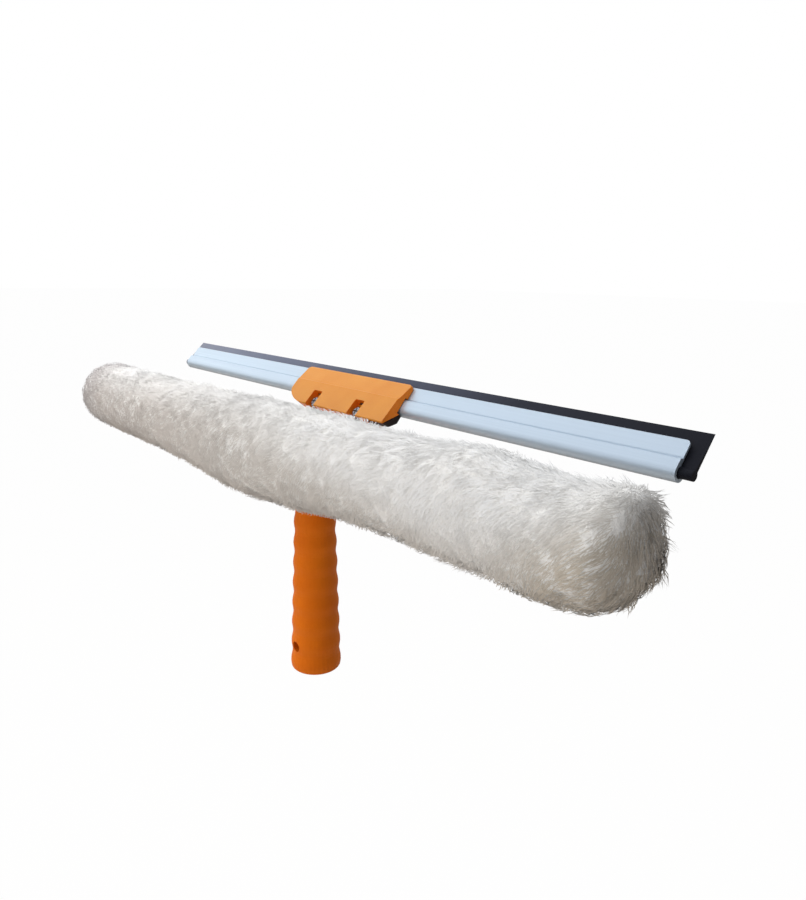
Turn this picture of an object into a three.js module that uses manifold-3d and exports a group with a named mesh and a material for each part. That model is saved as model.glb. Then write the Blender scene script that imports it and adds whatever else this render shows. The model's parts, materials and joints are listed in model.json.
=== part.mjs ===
// Window washer and squeegee on one short handle, in millimetres, +Z up.
// The origin is the centre of the handle's open foot, +X runs along the bar to its right end,
// and +Y points from the washer to the squeegee.

import * as THREE from 'three';
import { mergeVertices } from 'three/addons/utils/BufferGeometryUtils.js';
import Module from 'manifold-3d';

const wasm = await Module();
wasm.setup();

// Clearances
const seatGap = 0.3;
const overrun = 3;

// Handle: a tapered, waved grip with a tapering pole socket and a spigot for the head
const footRadius = 16.1;
const footRound = 1.8;
const gripTopRadius = 13;
const gripHeight = 112;
const gripTopRound = 1.2;
const ribPitch = 13.6;
const ribWave = 0.45;
const firstRibHeight = 5;
const socketMouthRadius = 11.8;
const socketEndRadius = 10.2;
const socketDepth = 95;
const lockHoleRadius = 3.5;
const lockHoleHeight = 17.3;
const spigotRadius = 10;
const spigotOverBolt = 5.5;

// Head: a collar on the spigot, a hub across it and two arms
const collarHeight = 1.7;
const collarWall = 4.2;
const collarRoof = 3;
const hubRadius = 12;
const hubWidth = 36;
const frontArmThickness = 8;
const frontArmWidth = 32;
const rearArmThickness = 7;
const rearArmWaist = 26;
const rearPadWidth = 50;
const rearPadLength = 20;
const rearRibThickness = 5;
const rearRibDepth = 8;
const boltRadius = 2.5;
const boltHeadRadius = 4.5;
const boltHeadHeight = 3;
const boltNutAcross = 8;
const boltNutHeight = 4;

// Washer bar: a hollow rounded bar with water slots and a solid middle for the front arm
const barBehindAxis = -42;
const barHeight = 161.5;
const barLength = 450;
const barWidth = 24;
const barThickness = 15;
const barCorner = 6;
const barWall = 2.5;
const barSolidLength = 64;
const barFrontWall = 3.6;
const slotLength = 20;
const slotWidth = 9;
const slotPitch = 31;
const capLip = 4;
const capSpigot = 12;
const barScrewSpacing = 22;
const barScrewRadius = 1.6;
const barScrewReach = 9;
const barScrewHeadRadius = 3;
const barScrewHeadHeight = 1.6;

// Sleeve: pile on cloth, closed at the right end, slit from its middle to its open left end
const sleevePastOpenEnd = 10.5;
const sleevePastClosedEnd = 27.5;
const sleeveEndWall = 13;
const sleeveRadius = 24;
const sleeveSwell = 3.5;
const sleeveSwellAt = 20;
const sleeveSwellReach = 90;
const sleeveDrop = 5.5;
const sleeveDropReach = 15;
const sleeveDropAt = 75;
const sleeveOpenRound = 23;
const sleeveClosedRound = 16;
const sleeveClearance = 0.6;

// Squeegee channel: an aluminium extrusion with two lips and a round groove for the bead
const channelLength = 450;
const channelFootForward = 23.1;
const channelFootHeight = 174.1;
const channelTilt = THREE.MathUtils.degToRad(51.3);
const channelHeight = 18.8;
const lipWall = 1.2;
const beadWall = 1.6;
const channelStepTop = 9.9;
const channelStepSlope = 0.5;
const channelGroove = 0.35;
const lipCornerRound = 2.5;

// Rubber: a blade on a round bead
const bladeThickness = 2.2;
const beadRadius = 2.4;
const bladeReach = 6.4;
const bladeOverhangRight = 6.4;
const bladeOverhangLeft = 5.5;

// Clamp: a fixed lower jaw with a heel and an upper jaw held by two screws
const jawLength = 106.6;
const jawDraft = 2;
const jawReachBelow = 10.5;
const jawLipMargin = 0.3;
const jawEdgeThickness = 1.9;
const jawRidgeAt = 7;
const jawRidgeHeight = 5.3;
const jawRidgeStep = 0.45;
const jawFootHeight = 7.3;
const jawEdgeBreak = 1;
const jawFootBreak = 0.6;
const jawPlanRound = 3.5;
const jawFootRoundAlong = 23;
const jawFootRoundUp = 15;
const jawFootRoundRight = 2;
const lowerJawLength = 106;
const lowerJawBack = 13;
const lowerJawLipWall = 3.6;
const heelTop = 0;
const heelDepth = 10.2;
const heelEdge = 2.2;
const heelBackDepth = 9.75;
const heelRampFrom = 36;
const heelRampFoot = 6.05;
const heelRampEdge = 3.7;
const heelRampWall = 3;
const heelBossWidth = 13;
const heelBossDepth = 8.5;
const lowerJawTaper = 15;
const lowerJawTaperStart = 2;
const pocketWidth = 9;
const pocketFloor = 1.9;
const pocketTop = 0.8;
const pocketRound = 1.2;
const screwSpacing = 44;
const screwBelow = 6.4;
const screwRadius = 1.75;
const screwHeadRadius = 3.5;
const screwHeadHeight = 2.2;
const screwTail = 1.2;
const washerRadius = 3.8;
const washerThickness = 0.5;
const nutAcross = 6;
const nutHeight = 2.8;
const nutRoof = 2.4;
const crossLength = 4.2;
const crossWidth = 0.9;
const crossDepth = 1.3;
const panHeadShares = [[1, 0], [1, 0.5], [0.85, 0.85], [0.6, 1], [0, 1]];
const crossDepthShare = 0.6;
const mountScrewSpacing = 36;
const mountScrewAt = 11;
const mountScrewRadius = 1.75;
const mountScrewReach = 4.6;
const mountScrewHeadRadius = 3.4;
const mountScrewHeadHeight = 2;

// Counts
const turnSegments = 36;
const smallSegments = 20;
const pointsPerRib = 6;
const arcSteps = 5;

// Worked out from the sizes above
const neckHeight = gripHeight + seatGap + collarHeight + hubRadius;
const spigotTop = neckHeight + spigotOverBolt;
const barFromNeck = Math.hypot(barBehindAxis, barHeight - neckHeight);
const barTurn = Math.atan2(-barBehindAxis, barHeight - neckHeight);
const slitWidth = frontArmThickness + 2 * sleeveClearance;
const bladeMiddle = -(lipWall + seatGap + bladeThickness / 2);
const beadGrooveRadius = beadRadius + seatGap;
const channelHalf = beadWall + beadGrooveRadius;
const beadAt = channelHalf;
const channelStep = channelHalf + bladeMiddle;
const lipHalf = -bladeMiddle;
const channelBack = bladeMiddle - channelHalf;
const sleeveOpenEnd = -(barLength / 2 + capLip + sleevePastOpenEnd);
const sleeveClosedEnd = barLength / 2 + capLip + sleevePastClosedEnd;
const nutTop = heelTop - nutRoof;

const barFrame = new THREE.Matrix4().makeRotationX(barTurn).setPosition(0, barBehindAxis, barHeight);
const squeegeeFrame = new THREE.Matrix4()
  .makeRotationX(channelTilt)
  .setPosition(0, channelFootForward, channelFootHeight);

// A closed geometry as a solid: shared corners merged, empty triangles dropped, faces turned outwards
function solidOf(geometry) {
  const bare = geometry.clone();
  bare.deleteAttribute('normal');
  bare.deleteAttribute('uv');
  const merged = mergeVertices(bare, 1e-4);
  const place = merged.attributes.position;
  const corners = [];
  for (let i = 0; i < merged.index.count; i += 3) {
    const [a, b, c] = [0, 1, 2].map((k) => merged.index.getX(i + k));
    if (a !== b && b !== c && a !== c) corners.push([a, b, c]);
  }
  const at = (i) => new THREE.Vector3().fromBufferAttribute(place, i);
  const volume = corners.reduce((sum, [a, b, c]) => sum + at(a).dot(at(b).cross(at(c))), 0);
  const turned = volume < 0 ? corners.map(([a, b, c]) => [a, c, b]) : corners;
  const vertProperties = new Float32Array(place.array);
  const triVerts = new Uint32Array(turned.flat());
  return new wasm.Manifold(new wasm.Mesh({ numProp: 3, vertProperties, triVerts }));
}

function geometryOf(solid) {
  const mesh = solid.getMesh();
  const geometry = new THREE.BufferGeometry();
  geometry.setAttribute('position', new THREE.BufferAttribute(new Float32Array(mesh.vertProperties), 3));
  geometry.setIndex(Array.from(mesh.triVerts));
  geometry.computeVertexNormals();
  return geometry;
}

const joined = (...solids) => solids.reduce((sum, solid) => sum.add(solid));
const cut = (solid, ...tools) => tools.reduce((rest, tool) => rest.subtract(tool), solid);

function moved(geometry, x, y, z) {
  return geometry.clone().translate(x, y, z);
}

// Turns a shape's own X and Y into the part's Y and Z, and its depth into X
const depthToX = new THREE.Matrix4().makeBasis(
  new THREE.Vector3(0, 1, 0), new THREE.Vector3(0, 0, 1), new THREE.Vector3(1, 0, 0));

function drawnOut(shape, depth, curveSegments = arcSteps) {
  return new THREE.ExtrudeGeometry(shape, { depth, bevelEnabled: false, curveSegments });
}

// An outline in Y and Z, drawn out along X
function alongX(shape, from, to, curveSegments = arcSteps) {
  return drawnOut(shape, to - from, curveSegments).applyMatrix4(depthToX).translate(from, 0, 0);
}

// An outline in X and Z, drawn out along Y
function alongY(shape, from, to) {
  return drawnOut(shape, to - from).rotateX(Math.PI / 2).translate(0, to, 0);
}

// An outline in X and Y, drawn out along Z
function alongZ(shape, from, to) {
  return drawnOut(shape, to - from).translate(0, 0, from);
}

function box(width, depth, height, x = 0, y = 0, z = 0) {
  return new THREE.BoxGeometry(width, depth, height).translate(x, y, z);
}

// A round bar along Z from one height to another
function rod(radius, from, to, segments = smallSegments) {
  return new THREE.CylinderGeometry(radius, radius, to - from, segments)
    .rotateX(Math.PI / 2)
    .translate(0, 0, (from + to) / 2);
}

function outline(points) {
  return new THREE.Shape(points.map(([a, b]) => new THREE.Vector2(a, b)));
}

function roundedRectangle(width, height, radius) {
  const [w, h] = [width / 2, height / 2];
  const shape = new THREE.Shape();
  shape.moveTo(-w + radius, -h);
  shape.lineTo(w - radius, -h);
  shape.absarc(w - radius, -h + radius, radius, -Math.PI / 2, 0);
  shape.absarc(w - radius, h - radius, radius, 0, Math.PI / 2);
  shape.absarc(-w + radius, h - radius, radius, Math.PI / 2, Math.PI);
  shape.absarc(-w + radius, -h + radius, radius, Math.PI, 1.5 * Math.PI);
  return shape;
}

function hexagon(across) {
  const corner = across / Math.sqrt(3);
  return outline([0, 1, 2, 3, 4, 5].map((k) => {
    const angle = k * Math.PI / 3;
    return [corner * Math.cos(angle), corner * Math.sin(angle)];
  }));
}

// Grip radius at a height: a straight taper with shallow rib waves that fade out at the top
function gripRadius(height) {
  const share = height / gripHeight;
  const wave = Math.cos(2 * Math.PI * (height - firstRibHeight) / ribPitch);
  return footRadius + (gripTopRadius - footRadius) * share + ribWave * (wave - share);
}

function handleGrip() {
  const profile = [[0, socketDepth], [socketEndRadius, socketDepth], [socketMouthRadius, 0]];
  const roundTop = footRound;
  for (let i = 0; i <= arcSteps; i += 1) {
    const angle = (Math.PI / 2) * (i / arcSteps);
    profile.push([
      gripRadius(roundTop) - footRound * (1 - Math.sin(angle)),
      footRound * (1 - Math.cos(angle)),
    ]);
  }
  const waveEnd = gripHeight - gripTopRound;
  const steps = Math.ceil(pointsPerRib * (waveEnd - roundTop) / ribPitch);
  for (let i = 1; i <= steps; i += 1) {
    const height = roundTop + (waveEnd - roundTop) * (i / steps);
    profile.push([gripRadius(height), height]);
  }
  const top = gripRadius(waveEnd) - gripTopRound;
  profile.push([top, gripHeight], [spigotRadius, gripHeight], [spigotRadius, spigotTop]);
  profile.push([0, spigotTop]);
  const points = profile.map(([r, h]) => new THREE.Vector2(r, h));
  const body = solidOf(new THREE.LatheGeometry(points, turnSegments).rotateX(Math.PI / 2));
  const lockHole = rod(lockHoleRadius, 0, footRadius + overrun)
    .rotateX(Math.PI / 2)
    .translate(0, 0, lockHoleHeight);
  const boltHole = rod(boltRadius + seatGap, -spigotRadius - overrun, spigotRadius + overrun)
    .rotateY(Math.PI / 2)
    .translate(0, 0, neckHeight);
  return cut(body, solidOf(lockHole), solidOf(boltHole));
}

// The front arm: flat, thick at the hub and slim where it passes through the sleeve's slit
function frontArm() {
  const slimAt = -(sleeveRadius + sleeveSwell + sleeveDrop);
  const end = barThickness / 2 - barFrontWall - seatGap;
  const side = outline([
    [-hubRadius / 2 - rearRibThickness, -barFromNeck],
    [hubRadius / 2 + rearRibThickness, -barFromNeck],
    [frontArmThickness / 2, slimAt],
    [frontArmThickness / 2, end],
    [-frontArmThickness / 2, end],
    [-frontArmThickness / 2, slimAt],
  ]);
  const arm = solidOf(alongX(side, -frontArmWidth / 2, frontArmWidth / 2));
  const screwHoles = [-1, 1].map((hand) => {
    const hole = rod(barScrewRadius + seatGap, end - barScrewReach - seatGap, end + overrun);
    return solidOf(moved(hole, hand * barScrewSpacing / 2, 0, 0));
  });
  return cut(arm, ...screwHoles).transform(barFrame.elements);
}

// The rear arm: a shaped plate behind the lower jaw, waisted above the hub, with a rib on its back
function rearArm() {
  const neck = new THREE.Vector3(0, 0, neckHeight).applyMatrix4(squeegeeFrame.clone().invert());
  const front = -lowerJawBack - seatGap;
  const back = front - rearArmThickness;
  const padTop = channelHeight - jawEdgeThickness;
  const padLow = padTop - rearPadLength;
  const waist = (neck.y + padLow) / 2;
  const plan = new THREE.Shape();
  plan.moveTo(-hubWidth / 2, neck.y);
  plan.lineTo(hubWidth / 2, neck.y);
  plan.quadraticCurveTo(rearArmWaist / 2, neck.y + hubRadius, rearArmWaist / 2, waist);
  plan.quadraticCurveTo(rearArmWaist / 2, padLow, rearPadWidth / 2, padLow + jawPlanRound);
  plan.lineTo(rearPadWidth / 2, padTop - jawPlanRound);
  plan.lineTo(rearPadWidth / 2 - jawPlanRound, padTop);
  plan.lineTo(-rearPadWidth / 2 + jawPlanRound, padTop);
  plan.lineTo(-rearPadWidth / 2, padTop - jawPlanRound);
  plan.lineTo(-rearPadWidth / 2, padLow + jawPlanRound);
  plan.quadraticCurveTo(-rearArmWaist / 2, padLow, -rearArmWaist / 2, waist);
  plan.quadraticCurveTo(-rearArmWaist / 2, neck.y + hubRadius, -hubWidth / 2, neck.y);
  const plate = solidOf(alongZ(plan, back, front));
  const rib = outline([
    [neck.y, back + overrun],
    [neck.y, back - rearRibDepth],
    [waist, back - rearRibDepth],
    [padTop - jawPlanRound, back],
    [padTop - jawPlanRound, back + overrun],
  ]);
  const web = solidOf(alongX(rib, -rearRibThickness / 2, rearRibThickness / 2));
  const screwHoles = [-1, 1].map((hand) => {
    const hole = rod(mountScrewRadius + seatGap, back - overrun, front + overrun);
    return solidOf(moved(hole, hand * mountScrewSpacing / 2, mountScrewAt, 0));
  });
  return cut(joined(plate, web), ...screwHoles).transform(squeegeeFrame.elements);
}

function headYoke() {
  const collarRadius = spigotRadius + collarWall;
  const collarFoot = gripHeight + seatGap;
  const collar = solidOf(rod(collarRadius, collarFoot, spigotTop + seatGap + collarRoof, turnSegments));
  const hub = solidOf(rod(hubRadius, -hubWidth / 2, hubWidth / 2, turnSegments)
    .rotateY(Math.PI / 2)
    .translate(0, 0, neckHeight));
  const bore = solidOf(rod(spigotRadius + seatGap, collarFoot - overrun,
    spigotTop + seatGap, turnSegments));
  const boltHole = solidOf(rod(boltRadius + seatGap, -hubWidth, hubWidth)
    .rotateY(Math.PI / 2)
    .translate(0, 0, neckHeight));
  return cut(joined(collar, hub, frontArm(), rearArm()), bore, boltHole);
}

// A pan head screw along Z: its head's underside at zero, its shank pointing down
function panScrew(radius, length, headRadius, headHeight) {
  const side = panHeadShares.map(([out, up]) => new THREE.Vector2(headRadius * out, headHeight * up));
  const profile = [new THREE.Vector2(0, 0), ...side];
  const head = new THREE.LatheGeometry(profile, smallSegments).rotateX(Math.PI / 2);
  const shank = rod(radius, -length, headHeight / 2);
  const crossShare = headRadius / screwHeadRadius;
  const depth = Math.min(crossDepth, headHeight * crossDepthShare);
  const arms = [[crossLength, crossWidth], [crossWidth, crossLength]].map(([w, d]) => solidOf(
    box(w * crossShare, d * crossShare, 2 * depth, 0, 0, headHeight)));
  return cut(joined(solidOf(head), solidOf(shank)), ...arms);
}

function ring(outerRadius, innerRadius, thickness) {
  const shape = new THREE.Shape().absarc(0, 0, outerRadius, 0, 2 * Math.PI);
  shape.holes.push(new THREE.Path().absarc(0, 0, innerRadius, 0, 2 * Math.PI, true));
  return solidOf(drawnOut(shape, thickness, smallSegments / 2));
}

function hexNut(across, height, radius) {
  const shape = hexagon(across);
  shape.holes.push(new THREE.Path().absarc(0, 0, radius, 0, 2 * Math.PI, true));
  return solidOf(drawnOut(shape, height, smallSegments / 2));
}

// The washer bar along X in its own frame, where the arm comes in from below
function washerBar() {
  const half = barLength / 2;
  const body = solidOf(alongX(roundedRectangle(barWidth, barThickness, barCorner), -half, half));
  const bore = roundedRectangle(barWidth - 2 * barWall, barThickness - 2 * barWall, barCorner - barWall);
  const hollows = [
    solidOf(alongX(bore, barSolidLength / 2, half + overrun)),
    solidOf(alongX(bore, -half - overrun, -barSolidLength / 2)),
  ];
  const clearLength = half - capSpigot - barSolidLength / 2;
  const slotCount = Math.floor((clearLength - slotPitch / 2) / slotPitch);
  const slot = roundedRectangle(slotLength, slotWidth, slotWidth / 2);
  const slots = [];
  for (const hand of [-1, 1]) {
    for (let i = 0; i < slotCount; i += 1) {
      const x = hand * (barSolidLength / 2 + clearLength / 2 + (i - (slotCount - 1) / 2) * slotPitch);
      slots.push(solidOf(moved(alongZ(slot, -barThickness, barThickness), x, 0, 0)));
    }
  }
  const socketEnd = barThickness / 2 - barFrontWall;
  const socketDepthBelow = barThickness;
  const socket = box(frontArmWidth + 2 * seatGap, frontArmThickness + 2 * seatGap,
    socketEnd + socketDepthBelow, 0, 0, (socketEnd - socketDepthBelow) / 2);
  const screwHoles = [-1, 1].flatMap((hand) => {
    const x = hand * barScrewSpacing / 2;
    const shankHole = moved(rod(barScrewRadius + seatGap, 0, barThickness), x, 0, 0);
    const recess = moved(rod(barScrewHeadRadius + seatGap,
      barThickness / 2 - barScrewHeadHeight, barThickness), x, 0, 0);
    return [solidOf(shankHole), solidOf(recess)];
  });
  return cut(body, ...hollows, ...slots, solidOf(socket), ...screwHoles);
}

// A plug for the bar's right end: a rounded lip outside and a spigot inside
function barCap() {
  const lip = roundedRectangle(barWidth, barThickness, barCorner);
  const lipBevel = capLip / 2;
  const plate = new THREE.ExtrudeGeometry(lip, {
    depth: capLip - lipBevel, bevelThickness: lipBevel, bevelSize: lipBevel, bevelOffset: -lipBevel,
    bevelSegments: 3, curveSegments: arcSteps,
  });
  const dome = solidOf(plate.applyMatrix4(depthToX).translate(seatGap, 0, 0));
  const flat = solidOf(box(capLip, 2 * barWidth, 2 * barThickness, seatGap - capLip / 2, 0, 0));
  const inset = barWall + seatGap;
  const plug = roundedRectangle(barWidth - 2 * inset, barThickness - 2 * inset, barCorner - inset);
  const spigot = solidOf(alongX(plug, -capSpigot, seatGap + lipBevel));
  return joined(cut(dome, flat), spigot);
}

// How far the sleeve's middle hangs below the bar at a place along it
function sleeveSag(x) {
  return sleeveDrop / (1 + Math.exp((x - sleeveDropAt) / sleeveDropReach));
}

function sleeveOuterRadius(x) {
  const swell = sleeveSwell * Math.exp(-(((x - sleeveSwellAt) / sleeveSwellReach) ** 2));
  const intoOpen = (sleeveOpenEnd + sleeveOpenRound - x) / sleeveOpenRound;
  const intoClosed = (x - sleeveClosedEnd + sleeveClosedRound) / sleeveClosedRound;
  const intoEnd = Math.max(0, intoOpen, intoClosed);
  return (sleeveRadius + swell) * Math.sqrt(Math.max(0, 1 - intoEnd ** 2));
}

function washerSleeve() {
  const endSteps = 7;
  const bodySteps = 26;
  const bodyFrom = sleeveOpenEnd + sleeveOpenRound;
  const bodyTo = sleeveClosedEnd - sleeveClosedRound;
  const places = [];
  for (let i = 0; i < endSteps; i += 1) {
    places.push(bodyFrom - sleeveOpenRound * Math.cos((Math.PI / 2) * (i / endSteps)));
  }
  for (let i = 0; i <= bodySteps; i += 1) {
    places.push(bodyFrom + (bodyTo - bodyFrom) * (i / bodySteps));
  }
  for (let i = endSteps - 1; i >= 0; i -= 1) {
    places.push(bodyTo + sleeveClosedRound * Math.cos((Math.PI / 2) * (i / endSteps)));
  }
  const profile = places.map((x) => new THREE.Vector2(sleeveOuterRadius(x), x));
  profile[0].x = 0;
  profile[profile.length - 1].x = 0;
  const outer = new THREE.LatheGeometry(profile, turnSegments).rotateZ(-Math.PI / 2);
  const place = outer.attributes.position;
  for (let i = 0; i < place.count; i += 1) {
    place.setZ(i, place.getZ(i) - sleeveSag(place.getX(i)));
  }
  outer.translate(0, barBehindAxis, barHeight);
  const open = sleeveOpenEnd - overrun;
  const bore = alongX(roundedRectangle(barWidth + 2 * sleeveClearance, barThickness + 2 * sleeveClearance,
    barCorner + sleeveClearance), open, sleeveClosedEnd - sleeveEndWall);
  const slitEnd = frontArmWidth / 2 + sleeveClearance;
  const slitDepth = 2 * sleeveRadius;
  const slit = box(slitEnd - open, slitWidth, slitDepth, (slitEnd + open) / 2, 0, -slitDepth / 2);
  return cut(solidOf(outer), solidOf(bore).transform(barFrame.elements),
    solidOf(slit).transform(barFrame.elements));
}

// Half of the extrusion's outer outline, as height and distance from the blade's middle plane:
// round under the bead, upright to the step, then the lip above a fine groove
function channelSide(hand) {
  const points = [];
  for (let i = 1; i <= 2 * arcSteps; i += 1) {
    const angle = (Math.PI / 2) * (i / (2 * arcSteps));
    points.push([channelHalf * (1 - Math.cos(angle)), channelHalf * Math.sin(angle)]);
  }
  points.push(
    [channelStepTop - 2 * channelStepSlope, channelHalf - channelStepSlope / 2],
    [channelStepTop, lipHalf - channelGroove],
    [channelStepTop + 2 * channelGroove, lipHalf],
    [channelHeight - lipWall / 2, lipHalf],
    [channelHeight, lipHalf - lipWall / 2],
  );
  return points.map(([height, side]) => [height, bladeMiddle + hand * side]);
}

function channelExtrusion() {
  const half = channelLength / 2;
  const slot = lipHalf - lipWall;
  const groove = [];
  const meet = Math.asin(slot / beadGrooveRadius);
  const steps = 4 * arcSteps;
  for (let i = 0; i <= steps; i += 1) {
    const angle = meet + (2 * Math.PI - 2 * meet) * (i / steps);
    groove.push([
      beadAt + beadGrooveRadius * Math.cos(angle),
      bladeMiddle + beadGrooveRadius * Math.sin(angle),
    ]);
  }
  const shape = outline([
    [0, bladeMiddle],
    ...channelSide(1),
    [channelHeight, bladeMiddle + slot],
    ...groove,
    [channelHeight, bladeMiddle - slot],
    ...channelSide(-1).reverse(),
  ]);
  const extrusion = solidOf(alongX(shape, -half, half));
  const plan = new THREE.Shape();
  plan.moveTo(-half, -overrun);
  plan.lineTo(half, -overrun);
  plan.lineTo(half, channelHeight - lipCornerRound);
  plan.absarc(half - lipCornerRound, channelHeight - lipCornerRound, lipCornerRound, 0, Math.PI / 2);
  plan.absarc(-half + lipCornerRound, channelHeight - lipCornerRound, lipCornerRound, Math.PI / 2, Math.PI);
  return extrusion.intersect(solidOf(alongZ(plan, -2 * channelHalf - overrun, channelStep + overrun)));
}

function rubberBlade() {
  const shape = new THREE.Shape();
  const meet = Math.asin(bladeThickness / 2 / beadRadius);
  const tip = channelHeight + bladeReach;
  shape.moveTo(tip, bladeMiddle + bladeThickness / 2);
  shape.absarc(beadAt, bladeMiddle, beadRadius, meet, 2 * Math.PI - meet);
  shape.lineTo(tip, bladeMiddle - bladeThickness / 2);
  const half = channelLength / 2;
  return solidOf(alongX(shape, -half - bladeOverhangLeft, half + bladeOverhangRight, smallSegments));
}

// A prism whose length shrinks with depth, for drafted ends: pairs of half length and height
function draftedEnds(steps, from, to) {
  const right = steps.map(([half, height]) => [half, height]);
  const left = steps.map(([half, height]) => [-half, height]).reverse();
  return solidOf(alongY(outline([...right, ...left]), from, to));
}

// Both jaws' outline seen from the front: the left foot corner is much rounder than the right one
function jawPlan(half, foot, top) {
  const shape = new THREE.Shape();
  shape.moveTo(-half + jawFootRoundAlong, foot);
  shape.lineTo(half - jawFootRoundRight, foot);
  shape.absarc(half - jawFootRoundRight, foot + jawFootRoundRight, jawFootRoundRight, -Math.PI / 2, 0);
  shape.absarc(half - jawPlanRound, top - jawPlanRound, jawPlanRound, 0, Math.PI / 2);
  shape.absarc(-half + jawPlanRound, top - jawPlanRound, jawPlanRound, Math.PI / 2, Math.PI);
  shape.absellipse(-half + jawFootRoundAlong, foot + jawFootRoundUp,
    jawFootRoundAlong, jawFootRoundUp, Math.PI, 1.5 * Math.PI, false);
  return shape;
}

// The stretches near both ends, where the heel rises to the movable jaw's foot as a ramp
const rampStretches = (half, from) => [[-half, -from], [from, half]];

// The movable jaw: one outline along the channel, with drafted ends, ramps and two screw pockets
function upperJaw() {
  const top = channelHeight + jawLipMargin;
  const under = heelTop + seatGap;
  const overBead = channelStep + seatGap;
  const overStep = channelStepTop + seatGap;
  const front = [
    [top, seatGap],
    [top, jawEdgeThickness],
    [top - jawEdgeBreak, jawEdgeThickness + jawEdgeBreak / 2],
    [jawRidgeAt + jawRidgeStep, jawRidgeHeight],
    [jawRidgeAt, jawRidgeHeight + jawRidgeStep],
    [-jawReachBelow + jawFootBreak, jawFootHeight],
    [-jawReachBelow, jawFootHeight - jawFootBreak],
  ];
  const bite = [[-seatGap, overBead], [overStep, overBead], [overStep, seatGap]];
  const rampSlope = (heelRampFoot - heelTop) / heelDepth;
  const rampGap = seatGap * Math.hypot(1, rampSlope);
  const flatSide = outline([[-jawReachBelow, under], [-seatGap, under], ...bite, ...front]);
  const rampSide = outline([
    [-jawReachBelow, heelRampFoot + rampGap],
    [-seatGap, heelTop + rampGap],
    ...bite,
    ...front,
  ]);
  const half = jawLength / 2;
  const rampFrom = heelRampFrom - seatGap;
  const middle = solidOf(alongX(flatSide, -rampFrom, rampFrom));
  const sides = rampStretches(half, rampFrom).map(([from, to]) => solidOf(alongX(rampSide, from, to)));
  const ends = draftedEnds([
    [half, -2 * overrun], [half, jawEdgeThickness / 2],
    [half - jawDraft, jawFootHeight], [half - jawDraft, jawFootHeight + overrun],
  ], -jawReachBelow - overrun, top + overrun);
  const corners = solidOf(alongZ(jawPlan(half, -jawReachBelow, top), -2 * overrun, jawFootHeight + overrun));
  const pocketLength = pocketTop + jawReachBelow + overrun;
  const pocketPlan = roundedRectangle(pocketWidth, pocketLength, pocketRound);
  const tools = [-1, 1].flatMap((hand) => {
    const x = hand * screwSpacing / 2;
    const pocket = moved(alongZ(pocketPlan, pocketFloor, jawFootHeight + overrun),
      x, pocketTop - pocketLength / 2, 0);
    const hole = moved(rod(screwRadius + seatGap, -overrun, jawFootHeight), x, -screwBelow, 0);
    return [solidOf(pocket), solidOf(hole)];
  });
  return cut(joined(middle, ...sides).intersect(ends).intersect(corners), ...tools);
}

// The fixed jaw: a cradle behind the channel and a heel below it that holds the nuts
function lowerJaw() {
  const heelOut = -seatGap - heelDepth;
  const top = channelHeight + jawLipMargin;
  const lipBack = -2 * lipHalf - seatGap;
  const beadBack = channelBack - seatGap;
  const overStep = channelStepTop + seatGap;
  const cradle = [
    [overStep, -lowerJawBack],
    [top, lipBack - lowerJawLipWall],
    [top, lipBack],
    [overStep, lipBack],
    [overStep, beadBack],
    [-seatGap, beadBack],
  ];
  const flatSide = outline([
    [heelOut, heelTop],
    [heelOut, heelTop - heelEdge],
    [-heelDepth / 2, -heelBackDepth],
    [0, -lowerJawBack],
    ...cradle,
    [-seatGap, heelTop],
  ]);
  const rampSide = outline([
    [heelOut, heelRampFoot],
    [heelOut, heelRampFoot - heelRampEdge],
    [-heelRampWall, heelTop - heelRampEdge],
    [-heelRampWall, beadBack - heelRampWall],
    [0, -lowerJawBack],
    ...cradle,
    [-seatGap, heelTop],
  ]);
  const half = lowerJawLength / 2;
  const middle = solidOf(alongX(flatSide, -heelRampFrom, heelRampFrom));
  const sides = rampStretches(half, heelRampFrom).map(([from, to]) => solidOf(alongX(rampSide, from, to)));
  const ends = draftedEnds([
    [half - lowerJawTaper, -lowerJawBack - overrun], [half - lowerJawTaper, -lowerJawBack],
    [half, -lowerJawTaperStart], [half, heelRampFoot + overrun],
  ], heelOut - overrun, top + overrun);
  const corners = solidOf(alongZ(jawPlan(half, heelOut, top),
    -lowerJawBack - overrun, heelRampFoot + overrun));
  const bosses = [-1, 1].map((hand) => solidOf(box(heelBossWidth, heelDepth, heelBossDepth,
    hand * screwSpacing / 2, -seatGap - heelDepth / 2, heelTop - heelBossDepth / 2)));
  const tools = [-1, 1].flatMap((hand) => {
    const x = hand * screwSpacing / 2;
    const nutPocket = moved(alongZ(hexagon(nutAcross + 2 * seatGap), -2 * lowerJawBack, nutTop + seatGap),
      x, -screwBelow, 0);
    const hole = moved(rod(screwRadius + seatGap, nutTop, heelTop + overrun), x, -screwBelow, 0);
    const mountHole = moved(rod(mountScrewRadius + seatGap, -lowerJawBack - overrun,
      -lowerJawBack + mountScrewReach + seatGap), hand * mountScrewSpacing / 2, mountScrewAt, 0);
    return [solidOf(nutPocket), solidOf(hole), solidOf(mountHole)];
  });
  return cut(joined(middle, ...sides, ...bosses).intersect(ends).intersect(corners), ...tools);
}

function finish(color, roughness, metalness) {
  return new THREE.MeshStandardMaterial({ color, roughness, metalness });
}

const orange = finish('#c8661e', 0.55, 0);
const paleOrange = finish('#e0914a', 0.5, 0);
const blackPlastic = finish('#1d1512', 0.6, 0);
const barPlastic = finish('#c8661e', 0.6, 0);
const aluminium = finish('#c3cfdd', 0.35, 1);
const rubber = finish('#25272d', 0.75, 0);
const steel = finish('#b9bbc0', 0.3, 1);
const pile = finish('#dcdad4', 1, 0);

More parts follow.
